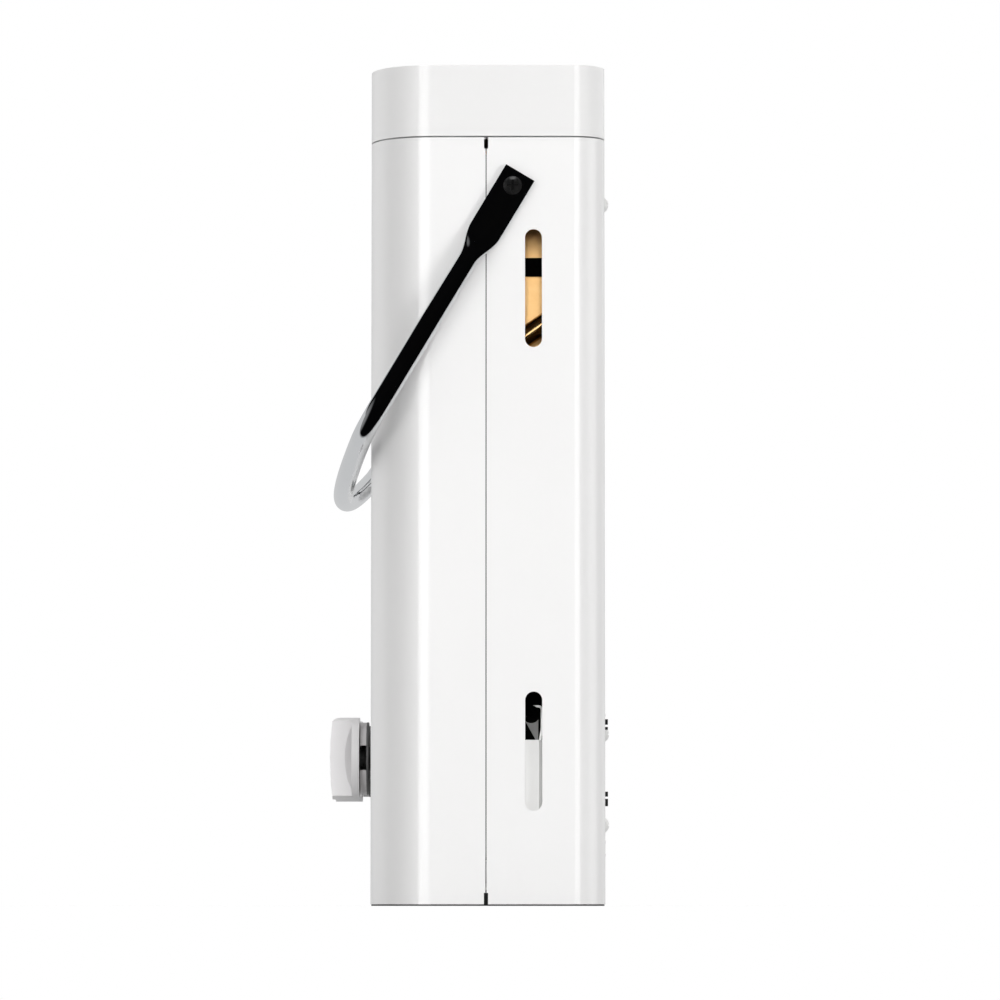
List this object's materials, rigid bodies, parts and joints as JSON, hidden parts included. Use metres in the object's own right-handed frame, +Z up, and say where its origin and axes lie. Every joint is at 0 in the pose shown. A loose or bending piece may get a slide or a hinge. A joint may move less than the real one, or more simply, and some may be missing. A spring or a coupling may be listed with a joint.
{
  "type": "portable propane water heater",
  "caption": "Upright rounded box water heater with a burner, copper coil, front knobs, a top exhaust cap and a swinging bail handle.",
  "frame": {"origin": "the floor_rest mount, which is the centre of the case's outline on the floor, inside the ring of the black base trim; the knobs and the lowered handle stand forward of it", "axes": "+Z up, -Y out of the front where the knobs are, +X to the right of a person facing the front"},
  "size_m": [0.3248, 0.1517, 0.447],
  "materials": {
    "white_paint": "powder-coated white, satin",
    "white_plastic": "smooth light grey moulding",
    "dark_plastic": "dark grey moulding",
    "black_rubber": "black rubber",
    "black_coat": "black coated",
    "zinc_steel": "zinc-plated sheet",
    "bright_chrome": "polished chrome plate",
    "copper": "bare copper",
    "brass": "bare brass",
    "glass": "heat-resistant clear",
    "ceramic": "glazed white ceramic",
    "red_silicone": "red-brown silicone cable",
    "white_cable": "white cable",
    "cell_wrap": "plain wrapped cell"
  },
  "bodies": {
    "case": {"front_cover": "white_paint", "rear_cover": "white_paint", "top_cap": "white_paint", "cap_shield": "zinc_steel", "top_deck": "zinc_steel", "base_plate": "zinc_steel", "base_trim": "black_rubber", "window_bezel": "white_plastic", "window_glass": "glass", "rear_screws": "white_plastic", "rear_bumpers": "black_rubber", "chassis_rails": "zinc_steel", "handle_washers": "white_plastic", "handle_screws": "black_coat", "handle_nuts": "zinc_steel", "dial_bases": "dark_plastic", "dial_rings": "white_plastic", "flue_hood": "copper", "exchanger_shell": "copper", "exchanger_fins": "copper", "exchanger_coil": "copper", "exchanger_band": "black_coat", "cold_pipe": "copper", "burner_tray": "zinc_steel", "burner_blades": "zinc_steel", "gas_manifold": "zinc_steel", "gas_nozzles": "brass", "gas_valve": "zinc_steel", "solenoid_valve": "dark_plastic", "gas_inlet": "brass", "water_valve": "brass", "diaphragm_cover": "brass", "diaphragm": "black_rubber", "valve_screws": "zinc_steel", "cold_inlet": "brass", "hot_outlet": "brass", "locknuts": "brass", "pipe_nuts": "brass", "microswitch": "dark_plastic", "igniter_module": "dark_plastic", "igniter_leads": "red_silicone", "spark_electrodes": "ceramic", "thermal_cutout": "dark_plastic", "tip_switch": "white_plastic", "battery_box": "white_plastic", "batteries": "cell_wrap", "battery_contacts": "brass", "battery_lead": "white_cable", "battery_lug": "zinc_steel", "lug_screw": "black_coat"},
    "handle": {"carry_handle": "bright_chrome"},
    "gas_control": {"gas_knob": "white_plastic", "gas_spindle": "brass"},
    "water_control": {"water_knob": "white_plastic", "water_spindle": "brass"},
    "battery_door": {"battery_door": "white_plastic"},
    "push_rod": {"push_rod": "zinc_steel"},
    "switch_lever": {"switch_lever": "zinc_steel"},
    "drain_plug": {"drain_plug": "black_rubber"}
  },
  "joints": [
    {"name": "handle_swing", "type": "hinge", "parent": "case", "child": "handle", "pos_m": [0, 0.0133, 0.382], "axis": [-1, 0, 0], "range_deg": [0, 308]},
    {"name": "gas_knob_turn", "type": "hinge", "parent": "case", "child": "gas_control", "pos_m": [0.031, -0.07, 0.0807], "axis": [0, 1, 0], "range_deg": [0, 180]},
    {"name": "water_knob_turn", "type": "hinge", "parent": "case", "child": "water_control", "pos_m": [-0.031, -0.07, 0.0807], "axis": [0, 1, 0], "range_deg": [0, 270]},
    {"name": "battery_door_slide", "type": "slide", "parent": "case", "child": "battery_door", "axis": [-1, 0, 0], "range_m": [0, 0.075]},
    {"name": "push_rod_slide", "type": "slide", "parent": "case", "child": "push_rod", "axis": [1, 0, 0], "range_m": [0, 0.0025], "stiffness_N_per_m": 800, "springref_m": -0.002},
    {"name": "switch_lever_hinge", "type": "hinge", "parent": "case", "child": "switch_lever", "pos_m": [0.0102, -0.026, 0.1007], "axis": [0, -1, 0], "range_deg": [0, 9]},
    {"name": "drain_plug_turn", "type": "hinge", "parent": "case", "child": "drain_plug", "pos_m": [-0.058, -0.026, 0.016], "axis": [0, 0, 1], "range_deg": [0, 360]}
  ],
  "couplings": [
    {"joint": "switch_lever_hinge", "follows": "push_rod_slide", "rad_per_m": 62.5}
  ]
}
